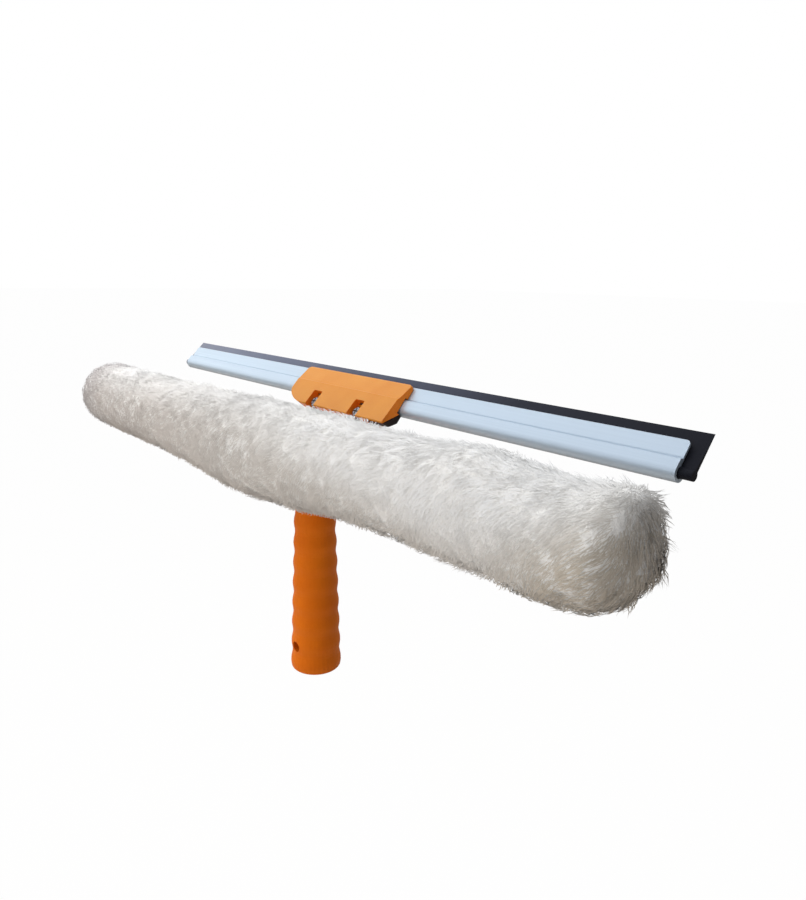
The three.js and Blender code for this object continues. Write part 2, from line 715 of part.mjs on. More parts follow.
const washerSqueegee = new THREE.Group();
const bar = new THREE.Group();
const squeegee = new THREE.Group();
bar.rotation.x = barTurn;
bar.position.set(0, barBehindAxis, barHeight);
squeegee.rotation.x = channelTilt;
squeegee.position.set(0, channelFootForward, channelFootHeight);
washerSqueegee.add(bar, squeegee);

function add(parent, name, solid, material) {
  const mesh = new THREE.Mesh(geometryOf(solid), material);
  mesh.name = name;
  parent.add(mesh);
  return mesh;
}

add(washerSqueegee, 'handle_grip', handleGrip(), orange);
add(washerSqueegee, 'head_yoke', headYoke(), orange);

const boltSide = hubWidth / 2 + seatGap;
const yokeBolt = add(washerSqueegee, 'yoke_bolt',
  panScrew(boltRadius, hubWidth + 2 * seatGap + boltNutHeight, boltHeadRadius, boltHeadHeight), steel);
yokeBolt.rotation.y = Math.PI / 2;
yokeBolt.position.set(boltSide, 0, neckHeight);
const yokeNut = add(washerSqueegee, 'yoke_nut',
  hexNut(boltNutAcross, boltNutHeight, boltRadius + seatGap), steel);
yokeNut.rotation.y = Math.PI / 2;
yokeNut.position.set(-boltSide - boltNutHeight, 0, neckHeight);

add(bar, 't_bar', washerBar(), barPlastic);
const capRight = add(bar, 't_bar_cap_right', barCap(), blackPlastic);
capRight.position.x = barLength / 2;
const capLeft = add(bar, 't_bar_cap_left', barCap(), blackPlastic);
capLeft.position.x = -barLength / 2;
capLeft.rotation.z = Math.PI;
add(washerSqueegee, 'washer_sleeve', washerSleeve(), pile);

add(squeegee, 'channel', channelExtrusion(), aluminium);
add(squeegee, 'rubber_blade', rubberBlade(), rubber);
add(squeegee, 'lower_jaw', lowerJaw(), blackPlastic);
add(squeegee, 'upper_jaw', upperJaw(), paleOrange);

const washerSeat = pocketFloor + seatGap;
const headSeat = washerSeat + washerThickness + seatGap;
const screwLength = headSeat - nutTop + nutHeight + screwTail;
const barScrewSeat = barThickness / 2 - barScrewHeadHeight + seatGap;
const mountScrewSeat = -lowerJawBack - 2 * seatGap - rearArmThickness;

for (const [hand, side] of [['left', -1], ['right', 1]]) {
  const screw = add(squeegee, `clamp_screw_${hand}`,
    panScrew(screwRadius, screwLength, screwHeadRadius, screwHeadHeight), steel);
  screw.position.set(side * screwSpacing / 2, -screwBelow, headSeat);
  const washer = add(squeegee, `clamp_washer_${hand}`,
    ring(washerRadius, screwRadius + seatGap, washerThickness), steel);
  washer.position.set(side * screwSpacing / 2, -screwBelow, washerSeat);
  const nut = add(squeegee, `clamp_nut_${hand}`,
    hexNut(nutAcross, nutHeight, screwRadius + seatGap), steel);
  nut.position.set(side * screwSpacing / 2, -screwBelow, nutTop - nutHeight);
  const barScrew = add(bar, `t_bar_screw_${hand}`,
    panScrew(barScrewRadius, barScrewReach, barScrewHeadRadius, barScrewHeadHeight - seatGap), steel);
  barScrew.position.set(side * barScrewSpacing / 2, 0, barScrewSeat);
  const mountScrew = add(squeegee, `jaw_mount_screw_${hand}`,
    panScrew(mountScrewRadius, rearArmThickness + 2 * seatGap + mountScrewReach - seatGap,
      mountScrewHeadRadius, mountScrewHeadHeight), steel);
  mountScrew.rotation.x = Math.PI;
  mountScrew.position.set(side * mountScrewSpacing / 2, mountScrewAt, mountScrewSeat);
}

export default washerSqueegee;
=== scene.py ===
import json
from math import cos, exp, pi, radians, sin

import bmesh
import bpy
from mathutils import Matrix, Vector, noise

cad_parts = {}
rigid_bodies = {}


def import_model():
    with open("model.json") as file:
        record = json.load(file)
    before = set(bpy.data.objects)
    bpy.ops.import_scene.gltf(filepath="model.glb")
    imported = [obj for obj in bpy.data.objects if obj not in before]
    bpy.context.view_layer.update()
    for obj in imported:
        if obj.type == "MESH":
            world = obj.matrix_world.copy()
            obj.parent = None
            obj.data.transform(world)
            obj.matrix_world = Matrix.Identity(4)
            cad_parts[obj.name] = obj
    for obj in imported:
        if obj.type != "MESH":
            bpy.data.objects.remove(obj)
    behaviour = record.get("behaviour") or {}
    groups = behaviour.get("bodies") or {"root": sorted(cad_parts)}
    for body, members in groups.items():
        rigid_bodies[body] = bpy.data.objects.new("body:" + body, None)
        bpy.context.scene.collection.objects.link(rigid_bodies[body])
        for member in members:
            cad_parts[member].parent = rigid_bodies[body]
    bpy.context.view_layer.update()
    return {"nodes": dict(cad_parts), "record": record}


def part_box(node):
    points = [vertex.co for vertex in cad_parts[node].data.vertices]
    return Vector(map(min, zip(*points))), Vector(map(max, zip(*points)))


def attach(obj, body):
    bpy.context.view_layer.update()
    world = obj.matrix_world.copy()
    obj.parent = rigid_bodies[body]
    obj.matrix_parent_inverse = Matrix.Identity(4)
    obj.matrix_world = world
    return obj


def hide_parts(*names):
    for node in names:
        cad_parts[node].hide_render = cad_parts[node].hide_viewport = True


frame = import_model()
nodes = frame["nodes"]
scene = bpy.context.scene
scene.view_settings.view_transform = "Standard"
print("frame loaded:", len(nodes), "solids")


class Wire:  # one output of a node; sums and products of wires add Math nodes
    def __init__(self, board, output):
        self.board, self.output = board, output

    def math(self, operation, *terms):
        return self.board.add("ShaderNodeMath", {"operation": operation}, dict(enumerate(terms)))

    def __add__(self, other):
        return self.math("ADD", self, other)

    def __radd__(self, other):
        return self.math("ADD", other, self)

    def __sub__(self, other):
        return self.math("SUBTRACT", self, other)

    def __rsub__(self, other):
        return self.math("SUBTRACT", other, self)

    def __mul__(self, other):
        return self.math("MULTIPLY", self, other)

    def __rmul__(self, other):
        return self.math("MULTIPLY", other, self)

    def __pow__(self, other):
        return self.math("POWER", self, other)

    def held(self):  # kept between 0 and 1
        return self.board.add("ShaderNodeClamp", {}, {"Value": self})

    def swing(self):  # how far a noise is from its middle grey
        return self - 0.5

    def other(self, name):  # another output of the same node
        return Wire(self.board, self.output.node.outputs[name])


class Board:  # a node tree that nodes are added to
    def __init__(self, tree):
        self.tree = tree

    def add(self, kind, settings=None, sockets=None):
        node = self.tree.nodes.new(kind)
        for name, value in (settings or {}).items():
            if name == "stops":
                self.setStops(node.color_ramp, value)
            else:
                setattr(node, name, value)
        for key, value in (sockets or {}).items():
            socket = self.inputOf(node, key)
            if isinstance(value, Wire):
                self.tree.links.new(value.output, socket)
            else:
                socket.default_value = value
        shown = [s for s in node.outputs if s.enabled and not s.is_unavailable]
        return Wire(self, shown[0]) if shown else node

    def inputOf(self, node, key):
        if isinstance(key, int):
            return node.inputs[key]
        return next(s for s in node.inputs if s.name == key and s.enabled and not s.is_unavailable)

    def setStops(self, ramp, stops):
        while len(ramp.elements) < len(stops):
            ramp.elements.new(0.5)
        for element, (place, colour) in zip(ramp.elements, stops):
            element.position, element.color = place, colour

    def vector(self, operation, *terms, scale=None):
        sockets = dict(enumerate(terms))
        if scale is not None:
            sockets["Scale"] = scale
        return self.add("ShaderNodeVectorMath", {"operation": operation}, sockets)

    def mixed(self, share, colourA, colourB, blend="MIX"):
        return self.add("ShaderNodeMix", {"data_type": "RGBA", "blend_type": blend, "clamp_factor": True},
                        {"Factor": share, "A": colourA, "B": colourB})

    def bumped(self, strength, distance, height):
        return self.add("ShaderNodeBump", {}, {"Strength": strength, "Distance": distance, "Height": height})

    def split(self, vector):  # x comes first, y and z by name
        return self.add("ShaderNodeSeparateXYZ", {}, {0: vector})

    def reading(self, name):  # Object is the piece's own place in metres, Normal its own facing
        return self.add("ShaderNodeTexCoord").other(name)


grainRoughness = 0.55


def grain(board, scale, detail, stretch=(1, 1, 1)):
    where = board.add("ShaderNodeMapping", {}, {"Vector": board.reading("Object"), "Scale": stretch})
    return board.add("ShaderNodeTexNoise", {}, {
        "Vector": where, "Scale": scale, "Detail": detail, "Roughness": grainRoughness})


def newMaterial(name):
    made = bpy.data.materials.new(name)
    made.use_nodes = True
    made.node_tree.nodes.clear()
    return made, Board(made.node_tree)


def finishMaterial(board, sockets):
    surface = board.add("ShaderNodeBsdfPrincipled", {}, sockets)
    board.add("ShaderNodeOutputMaterial", {}, {"Surface": surface})


view = {"place": (0.37158, -0.25253, 0.25360), "azimuth": 48.78, "down": 13.43, "roll": 1.15,
        "lens": 29.6, "nearest": 0.01}


def addCamera():
    lens = bpy.data.cameras.new("camera")
    lens.lens, lens.clip_start = view["lens"], view["nearest"]
    camera = bpy.data.objects.new("camera", lens)
    turn = (Matrix.Rotation(radians(view["azimuth"]), 4, "Z")
            @ Matrix.Rotation(radians(90 - view["down"]), 4, "X")
            @ Matrix.Rotation(radians(view["roll"]), 4, "Z"))
    camera.matrix_world = Matrix.Translation(view["place"]) @ turn
    scene.collection.objects.link(camera)
    scene.camera = camera


addCamera()
print("camera set")


studio = {
    "floorAt": -0.55, "floorSize": 30.0, "floorColour": (0.60, 0.54, 0.48, 1), "floorRoughness": 0.9,
    "floorWhite": 0.985,
    "ambient": 0.42, "dimmerRight": 0.19, "ambientColour": (0.97, 0.975, 1.0, 1),
    "mirrored": 0.72, "mirroredDimmer": 0.55,  # the room that gloss sees
    "lampsLookAt": (0, -0.01, 0.12),
}
lamps = {
    "key": {"from": (-0.90, -0.60, 1.35), "size": 1.9, "watts": 21, "colour": (1.0, 0.985, 0.96)},
    "top": {"from": (-0.5, 0.5, 1.5), "size": 1.4, "watts": 13, "colour": (0.95, 0.975, 1.0)},
    "front": {"from": (0.25, -1.55, 0.2), "size": 0.9, "watts": 7.5, "colour": (1.0, 0.98, 0.95)},
}


def seenWhite(board):  # 1 for rays that look straight at the background
    rays = board.add("ShaderNodeLightPath")
    return (rays.other("Is Camera Ray") + rays.other("Is Transmission Ray")).held()


def whiteBehind(board, share, surface, whiteNode, output):
    white = board.add(whiteNode, {}, {"Color": (1, 1, 1, 1), "Strength": 1.0})
    both = board.add("ShaderNodeMixShader", {}, {0: share, 1: surface, 2: white})
    board.add(output, {}, {"Surface": both})


def addRoom():
    world = bpy.data.worlds.new("studio")
    scene.world = world
    world.use_nodes = True
    world.node_tree.nodes.clear()
    board = Board(world.node_tree)
    toRight = board.split(board.reading("Generated"))
    matt = studio["ambient"] - toRight * studio["dimmerRight"]
    mirrored = (studio["mirrored"] - toRight * studio["mirroredDimmer"]).held()
    glossy = board.add("ShaderNodeLightPath").other("Is Glossy Ray")
    soft = board.add("ShaderNodeBackground", {}, {
        "Color": studio["ambientColour"], "Strength": matt + glossy * (mirrored - matt)})
    whiteBehind(board, seenWhite(board), soft, "ShaderNodeBackground", "ShaderNodeOutputWorld")


def addFloor():
    shape = bmesh.new()
    bmesh.ops.create_grid(shape, x_segments=1, y_segments=1, size=studio["floorSize"])
    bmesh.ops.translate(shape, vec=(0, 0, studio["floorAt"]), verts=shape.verts)
    mesh = bpy.data.meshes.new("floor")
    shape.to_mesh(mesh)
    shape.free()
    floor = bpy.data.objects.new("floor", mesh)
    scene.collection.objects.link(floor)
    made, board = newMaterial("pale_floor")
    matt = board.add("ShaderNodeBsdfPrincipled", {}, {
        "Base Color": studio["floorColour"], "Roughness": studio["floorRoughness"]})
    whiteBehind(board, seenWhite(board) * studio["floorWhite"], matt,
                "ShaderNodeEmission", "ShaderNodeOutputMaterial")
    mesh.materials.append(made)


def addLamps():
    middle = Vector(studio["lampsLookAt"])
    for name, lamp in lamps.items():
        light = bpy.data.lights.new(name, "AREA")
        light.shape, light.size, light.energy = "DISK", lamp["size"], lamp["watts"]
        light.color = lamp["colour"]
        holder = bpy.data.objects.new(name, light)
        holder.location = lamp["from"]
        holder.rotation_euler = (Vector(lamp["from"]) - middle).to_track_quat("Z", "Y").to_euler()
        holder.visible_glossy = False  # gloss shows the room, dimmer on the right, and no lamp
        scene.collection.objects.link(holder)


addRoom()
addFloor()
addLamps()
print("floor and lamps set")


moulding = {  # the grain that all three plastics share
    "cloudScale": 55, "speckScale": 900, "detail": 2.0,
    "cloudGain": 1.6, "cloudBase": 0.45, "speckGain": 0.5, "deepShare": 0.55,
    "roughByCloud": 0.16, "roughBySpeck": 0.10, "bump": 0.22, "bumpDepth": 0.0003,
}
plastics = {
    "orange_plastic": {"colour": (0.77, 0.172, 0.003, 1), "deep": (0.66, 0.114, 0.001, 1),
                       "roughness": 0.52, "shine": 0.16},
    # jaw_plastic is the handle's orange made paler: painted highlight for the strong light on the jaw's top
    "jaw_plastic": {"colour": (0.66, 0.255, 0.018, 1), "deep": (0.58, 0.175, 0.006, 1),
                    # side is a painted shade colour for faces that point sideways or down
                    "side": (0.98, 0.25, 0.010, 1), "sideGain": 1.3, "sideBase": 0.15,
                    "paintedBelowGain": -1.5, "paintedBelowBase": 0.2, "roughness": 0.40, "shine": 0.4},
    "black_plastic": {"colour": (0.020, 0.013, 0.011, 1), "deep": (0.010, 0.007, 0.006, 1),
                      "roughness": 0.45, "shine": 0.3},
}


def mouldedPlastic(slot):
    tint = plastics[slot]
    made, board = newMaterial(slot)
    cloudy = grain(board, moulding["cloudScale"], moulding["detail"])
    speck = grain(board, moulding["speckScale"], moulding["detail"])
    share = cloudy * moulding["cloudGain"] - moulding["cloudBase"] + speck.swing() * moulding["speckGain"]
    colour = board.mixed(share.held() * moulding["deepShare"], tint["colour"], tint["deep"])
    if "side" in tint:  # painted shade: faces that point sideways or down get a deeper red colour, standing for the shaded end faces, pocket walls and undersides
        across = board.split(board.reading("Normal"))
        paintedBelowShare = (across.other("Z") * tint["paintedBelowGain"] - tint["paintedBelowBase"]).held()
        paintedSideShare = across ** 2 * tint["sideGain"] - tint["sideBase"]
        colour = board.mixed((paintedSideShare + paintedBelowShare).held(), colour, tint["side"])
    rough = (tint["roughness"] + cloudy.swing() * moulding["roughByCloud"]
             + speck.swing() * moulding["roughBySpeck"])
    bump = board.bumped(moulding["bump"], moulding["bumpDepth"], speck)
    finishMaterial(board, {"Base Color": colour, "Roughness": rough, "Normal": bump,
                           "Specular IOR Level": tint["shine"]})
    return made


def alongBar(board, reach, stops):  # a colour that runs along the channel, from one x to another
    x = board.split(board.reading("Object"))
    share = (x - reach[0]) * (1 / (reach[1] - reach[0]))
    return board.add("ShaderNodeValToRGB", {"stops": stops}, {"Fac": share})


extrusion = {
    "lineScale": 1400, "lineDetail": 3.0, "lineStretch": (0.006, 1, 1),  # die lines run along it
    "lineGain": 1.4, "lineBase": 0.2, "lineShare": 0.5, "lineColour": (0.45, 0.55, 0.66, 1),
    "softScale": 160, "softDetail": 2.0, "softStretch": (0.08, 1, 1),
    # the channel grows paler towards the far end: a painted reflection of the bright light there
    "paintedReflectionReach": (0.22, -0.20), "paintedReflection": [(0, (0.50, 0.60, 0.71, 1)), (1, (0.64, 0.76, 0.87, 1))],
    "paintedBelowGain": -2.0, "paintedBelowBase": 1.1, "paintedBelowStrength": 0.8, "paintedBelowColour": (0.10, 0.11, 0.14, 1),
    "roughness": 0.34, "roughByLine": 0.18, "roughBySoft": 0.12,
    "metal": 0.45, "bump": 0.25, "bumpDepth": 0.00015,
}


def drawnAluminium():
    made, board = newMaterial("aluminium")
    lines = grain(board, extrusion["lineScale"], extrusion["lineDetail"], extrusion["lineStretch"])
    soft = grain(board, extrusion["softScale"], extrusion["softDetail"], extrusion["softStretch"])
    # painted reflection: the channel's colour is paler towards the far end
    paintedReflectionColour = alongBar(board, extrusion["paintedReflectionReach"], extrusion["paintedReflection"])
    lined = (lines * extrusion["lineGain"] - extrusion["lineBase"]).held() * extrusion["lineShare"]
    colour = board.mixed(lined, paintedReflectionColour, extrusion["lineColour"])
    facing = board.split(board.reading("Normal"))
    paintedBelowShare = (facing.other("Z") * extrusion["paintedBelowGain"] - extrusion["paintedBelowBase"]).held()  # painted shade: faces that point down are darkened
    colour = board.mixed(paintedBelowShare * extrusion["paintedBelowStrength"], colour, extrusion["paintedBelowColour"])
    rough = (extrusion["roughness"] + lines.swing() * extrusion["roughByLine"]
             + soft.swing() * extrusion["roughBySoft"])
    bump = board.bumped(extrusion["bump"], extrusion["bumpDepth"], lines)
    finishMaterial(board, {"Base Color": colour, "Roughness": rough, "Metallic": extrusion["metal"],
                           "Normal": bump})
    return made


blade = {
    "bloomScale": 30, "bloomDetail": 4.0, "bloomStretch": (0.35, 1, 1),
    "bloomGain": 1.8, "bloomBase": 0.5, "bloomShare": 0.3, "plainRubberColour": (0.012, 0.013, 0.020, 1),
    "speckScale": 1500, "speckDetail": 2.0,
    # painted sheen: the blade is paler and bluer towards the far end, for the grazing gloss there
    "paintedSheenReach": (0.23, -0.23), "paintedSheen": [
        (0, (0.008, 0.009, 0.014, 1)), (0.22, (0.022, 0.025, 0.038, 1)), (0.42, (0.075, 0.085, 0.125, 1)),
        (0.75, (0.17, 0.19, 0.26, 1)), (1, (0.25, 0.27, 0.34, 1))],
    "roughness": 0.52, "roughByBloom": 0.22, "roughBySpeck": 0.08,
    "shine": 0.09, "bump": 0.12, "bumpDepth": 0.0002,
}


def bladeRubber():
    made, board = newMaterial("rubber")
    bloom = grain(board, blade["bloomScale"], blade["bloomDetail"], blade["bloomStretch"])
    speck = grain(board, blade["speckScale"], blade["speckDetail"])
    # painted sheen along the blade, broken by random patches of plain dark rubber
    paintedSheenColour = alongBar(board, blade["paintedSheenReach"], blade["paintedSheen"])
    bare = (bloom * blade["bloomGain"] - blade["bloomBase"]).held() * blade["bloomShare"]
    colour = board.mixed(bare, paintedSheenColour, blade["plainRubberColour"])
    rough = blade["roughness"] + bloom.swing() * blade["roughByBloom"] + speck.swing() * blade["roughBySpeck"]
    bump = board.bumped(blade["bump"], blade["bumpDepth"], speck)
    finishMaterial(board, {"Base Color": colour, "Roughness": rough, "Normal": bump,
                           "Specular IOR Level": blade["shine"]})
    return made


fastener = {"scale": 700, "detail": 3.0, "share": 0.5, "bright": (0.42, 0.42, 0.44, 1),
            "dull": (0.30, 0.29, 0.28, 1), "roughness": 0.26, "roughByGrain": 0.2, "metal": 1.0}


def platedSteel():
    made, board = newMaterial("steel")
    turned = grain(board, fastener["scale"], fastener["detail"])
    colour = board.mixed(turned * fastener["share"], fastener["bright"], fastener["dull"])
    rough = fastener["roughness"] + turned.swing() * fastener["roughByGrain"]
    finishMaterial(board, {"Base Color": colour, "Roughness": rough, "Metallic": fastener["metal"]})
    return made


finishes = {slot: mouldedPlastic(slot) for slot in plastics}
finishes.update(aluminium=drawnAluminium(), rubber=bladeRubber(), steel=platedSteel())
for row in frame["record"]["subparts"]:
    if row["material_slot"] in finishes:
        solid = nodes[row["node"]]
        solid.data.materials.clear()
        solid.data.materials.append(finishes[row["material_slot"]])
print("solids finished")


sleeve = {
    "axisY": -0.042, "axisZ": 0.1615, "radius": 0.024, "seed": 7,
    "drop": 0.0055, "dropAt": 0.075, "dropReach": 0.015,  # it hangs a little on the far side
    "weld": 1e-6, "weave": 0.0022,
    "innerFrom": 0.010, "outerFrom": 0.0165, "endFrom": 0.2, "endFacing": 0.3,  # where the outside starts
    "facingFrom": 0.15, "facingFull": 0.45,
    "farFrom": -0.02, "farTo": -0.17, "nearFrom": 0.06, "nearTo": 0.20,
    "sinkNear": 0.0022, "sinkFar": 0.0012,  # the cloth lies this far under the tips of the pile
    "lumps": 0.0011, "lumpsCalmFar": 0.6,
    "broadScale": 95, "broadShare": 0.6, "fineScale": 210, "fineShare": 0.4,
}
swells = [  # where the sleeve is fuller or slacker than its plain form
    {"at": 0.180, "reach": 0.018, "side": 1, "by": 0.0028},
    {"at": 0.114, "reach": 0.018, "side": 1, "by": -0.0019},
    {"at": 0.140, "reach": 0.010, "side": 1, "by": -0.0008},
    {"at": -0.005, "reach": 0.035, "side": -1, "by": 0.0024},
    {"at": 0.262, "reach": 0.018, "side": -1, "by": -0.0085},
    {"at": 0.210, "reach": 0.015, "side": -1, "by": 0.0020},
    {"at": 0.254, "reach": 0.012, "side": 1, "by": 0.0060},
    {"at": 0.045, "reach": 0.050, "side": 1, "by": 0.0010},
]
combing = {  # how long the pile is over the cloth, and which way it lies
    "lengthNear": 0.0056, "lengthMiddle": 0.0050, "lengthFar": 0.0033,
    "uneven": 0.25, "unevenScale": 60,
    "jawFrom": (-0.03, 0.0), "jawTo": (0.11, 0.14), "pressed": 0.2,  # short against the jaw
    "lie": Vector((-0.75, 0, -1.1)), "lieFar": 0.7, "lieNear": 0.3,
    "waveScale": 28, "rippleScale": 120, "ripple": 0.7, "waves": 0.7,
    "partFrom": 0.215, "partTo": 0.235, "partUnder": 0.7, "partShorter": 0.6,
}
locks = {  # tufts that stand out round the closed end
    "radius": 0.0030, "longer": 0.60, "upright": 0.85, "gather": 0.55,
    "at": [(0.2347, -0.0361, 0.1847), (0.2400, -0.0330, 0.1832), (0.2451, -0.0304, 0.1811),
           (0.2471, -0.0290, 0.1789), (0.2497, -0.0270, 0.1739), (0.2507, -0.0245, 0.1665),
           (0.2527, -0.0282, 0.1546), (0.2539, -0.0345, 0.1510), (0.2503, -0.0423, 0.1450)],
}


def sleeveAxisZ(x):
    return sleeve["axisZ"] - sleeve["drop"] / (1 + exp((x - sleeve["dropAt"]) / sleeve["dropReach"]))


def blendShare(value, start, end):  # 0 before start, 1 after end, smooth between
    t = min(1.0, max(0.0, (value - start) / (end - start)))
    return t * t * (3 - 2 * t)


def newPiece(name, mesh, finish, body):
    piece = bpy.data.objects.new(name, mesh)
    mesh.materials.clear()
    mesh.materials.append(finish)
    scene.collection.objects.link(piece)
    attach(piece, body)
    return piece


def evenCloth(finish):  # the sleeve's solid with a mesh that is equally fine all over
    shape = bmesh.new()
    shape.from_mesh(nodes["washer_sleeve"].data)
    bmesh.ops.remove_doubles(shape, verts=shape.verts, dist=sleeve["weld"])
    mesh = bpy.data.meshes.new("sleeve_cloth")
    shape.to_mesh(mesh)
    shape.free()
    cloth = newPiece("sleeve_cloth", mesh, finish, "sleeve")
    remesh = cloth.modifiers.new("weave", "REMESH")
    remesh.mode, remesh.voxel_size, remesh.use_smooth_shade = "VOXEL", sleeve["weave"], True
    cloth.data = bpy.data.meshes.new_from_object(cloth.evaluated_get(bpy.context.evaluated_depsgraph_get()))
    cloth.modifiers.clear()
    cloth.data.name = "sleeve_cloth"
    return cloth


def outsideShare(spot, normal, radial):  # 1 on the outside, 0 in the bore and on the slit's walls
    atEnd = spot.x > sleeve["endFrom"] and normal.x > sleeve["endFacing"]
    outer = 1 if atEnd else blendShare(radial.length, sleeve["innerFrom"], sleeve["outerFrom"])
    endwards = abs(normal.x) if spot.x * normal.x > 0 else 0
    facing = max(normal.dot(radial.normalized()), endwards)
    return outer * blendShare(facing, sleeve["facingFrom"], sleeve["facingFull"])


def swellOf(swell, spot, radial):
    upwards = max(0.0, swell["side"] * radial.z / sleeve["radius"])
    share = upwards * exp(-((spot.x - swell["at"]) / swell["reach"]) ** 2)
    return swell["side"] * swell["by"] * share


def pileLength(spot, normal, near, far):
    length = combing["lengthMiddle"] + (combing["lengthNear"] - combing["lengthMiddle"]) * near
    length += (combing["lengthFar"] - length) * far
    behindJaw = (blendShare(spot.x, *combing["jawFrom"]) * (1 - blendShare(spot.x, *combing["jawTo"]))
                 * max(0.0, normal.z))
    length *= 1 - combing["pressed"] * behindJaw
    return length * (1 + combing["uneven"] * noise.noise(spot * combing["unevenScale"]))


def pileLie(spot, normal, near):
    wave = (noise.noise_vector(spot * combing["waveScale"])
            + noise.noise_vector(spot * combing["rippleScale"]) * combing["ripple"])
    flow = combing["lie"] * (combing["lieFar"] + combing["lieNear"] * near) + wave * combing["waves"]
    return flow - normal * flow.dot(normal)


def wovenSkin(finish):
    cloth = evenCloth(finish)
    mesh = cloth.data
    density = mesh.attributes.new("density", "FLOAT", "POINT").data
    reach = mesh.attributes.new("reach", "FLOAT", "POINT").data
    comb = mesh.attributes.new("comb", "FLOAT_VECTOR", "POINT").data
    before = [(v.co.copy(), v.normal.copy()) for v in mesh.vertices]
    noise.seed_set(sleeve["seed"])  # unseeded, noise_vector starts from the clock
    for k, (vertex, (spot, normal)) in enumerate(zip(mesh.vertices, before)):
        radial = Vector((0, spot.y - sleeve["axisY"], spot.z - sleeveAxisZ(spot.x)))
        outer = outsideShare(spot, normal, radial)
        far = blendShare(spot.x, sleeve["farFrom"], sleeve["farTo"])
        near = blendShare(spot.x, sleeve["nearFrom"], sleeve["nearTo"])
        sink = sleeve["sinkNear"] + (sleeve["sinkFar"] - sleeve["sinkNear"]) * far
        lump = (noise.noise(spot * sleeve["broadScale"]) * sleeve["broadShare"]
                + noise.noise(spot * sleeve["fineScale"]) * sleeve["fineShare"])
        lumps = lump * sleeve["lumps"] * (1 - sleeve["lumpsCalmFar"] * far)
        vertex.co = spot - normal * ((sink - lumps) * outer)
        for swell in swells:
            vertex.co.z += swellOf(swell, spot, radial) * outer
        density[k].value = outer
        reach[k].value = pileLength(spot, normal, near, far)
        flow = pileLie(spot, normal, near)
        parting = (blendShare(spot.x, combing["partFrom"], combing["partTo"])
                   * max(0.0, 1 - flow.length / combing["partUnder"]))
        reach[k].value *= 1 - combing["partShorter"] * parting  # short where the pile has no lie
        for at in locks["at"]:
            away = Vector(at) - spot
            close = exp(-(away.length / locks["radius"]) ** 2)
            flow = flow * (1 - locks["upright"] * close) + away * (close * locks["gather"] / locks["radius"])
            reach[k].value *= 1 + locks["longer"] * close
        comb[k].vector = flow
    return cloth


tufts = {
    "long": {"kinds": 8, "strands": 7, "spread": 0.0022, "thick": 0.095, "bend": 0.8, "closing": 0.15,
             "perArea": 235000},
    "short": {"kinds": 6, "strands": 6, "spread": 0.0022, "thick": 0.12, "bend": 0.6, "closing": 0.1,
              "perArea": 270000},
}
strand = {  # measured in lengths of a tuft
    "sides": 3, "tip": 0.02, "cutAt": 0.5, "cutDistance": 1e-5, "middle": 1e-6,
    "shortest": 0.8, "lengthRange": 0.35, "leastBend": 0.6, "bendRange": 0.8,
    "swayRange": 6, "spinRange": 0.9,
    "taper": 0.96, "flat": 0.28, "sway": 0.12, "swayTurns": 5, "sideSway": 0.20, "sideSwayTurns": 4,
}


def roughStrand(shape):  # a thin spike on the origin with one cut, and its corners
    made = bmesh.ops.create_cone(shape, cap_ends=True, segments=strand["sides"], radius1=1,
                                 radius2=strand["tip"], depth=1, matrix=Matrix.Translation((0, 0, 0.5)))
    corners = list(made["verts"])
    faces = list(dict.fromkeys(f for v in corners for f in v.link_faces))
    edges = list(dict.fromkeys(e for f in faces for e in f.edges))
    cut = bmesh.ops.bisect_plane(shape, geom=corners + edges + faces, dist=strand["cutDistance"],
                                 plane_co=(0, 0, strand["cutAt"]), plane_no=(0, 0, 1))
    return dict.fromkeys(corners + [g for g in cut["geom"] if isinstance(g, bmesh.types.BMVert)])


def tuftShapes(tuft, finish):
    holder = bpy.data.collections.new("tufts")
    for kind in range(tuft["kinds"]):
        shape = bmesh.new()
        along = shape.verts.layers.float.new("along")
        noise.seed_set(sleeve["seed"] + kind)
        for k in range(tuft["strands"]):
            corners = roughStrand(shape)
            angle, away = 2 * pi * (k + noise.random()) / tuft["strands"], noise.random() ** 0.5
            foot = Vector((cos(angle), sin(angle), 0)) * away
            length = strand["shortest"] + strand["lengthRange"] * noise.random()
            bend = tuft["bend"] * (strand["leastBend"] + strand["bendRange"] * noise.random())
            sway = noise.random() * strand["swayRange"]
            spin = Matrix.Rotation(pi + (noise.random() - 0.5) * strand["spinRange"], 3, "Z")
            for v in corners:
                t = max(0.0, min(1.0, v.co.z))
                side = Vector((v.co.x, v.co.y, 0))
                if side.length > strand["middle"]:  # a flat lens of a section, its ridge away from the cloth
                    side = side.normalized() * tuft["thick"] * (1 - t ** 3 * strand["taper"])
                    side = spin @ Vector((side.x * strand["flat"], side.y, 0))
                drift = Vector((bend * t * t + strand["sway"] * sin(sway + strand["swayTurns"] * t),
                                strand["sideSway"] * sin(sway * 2 + strand["sideSwayTurns"] * t),
                                t * length))
                v.co = foot * (1 - tuft["closing"] * t) + side + drift
                v[along] = t
        for face in shape.faces:
            face.smooth = True
        bmesh.ops.recalc_face_normals(shape, faces=shape.faces)
        mesh = bpy.data.meshes.new(f"tuft_{kind}")
        shape.to_mesh(mesh)
        shape.free()
        mesh.materials.append(finish)
        holder.objects.link(bpy.data.objects.new(f"tuft_{kind}", mesh))
    return holder


pile = {
    "sections": 11, "lock": 0.0060,  # neighbouring tufts share a lean in locks of this size
    "stand": 0.30, "pull": 0.12, "lean": 0.24, "jitter": 0.11, "jitterSeed": 3,
    "spin": 0.4, "spinSeed": 5, "kindSeed": 2,
    "shortest": 0.75, "longest": 1.15, "lengthSeed": 8,
    "lockTone": 0.6, "ownTone": 0.4, "toneSeed": 9,
}


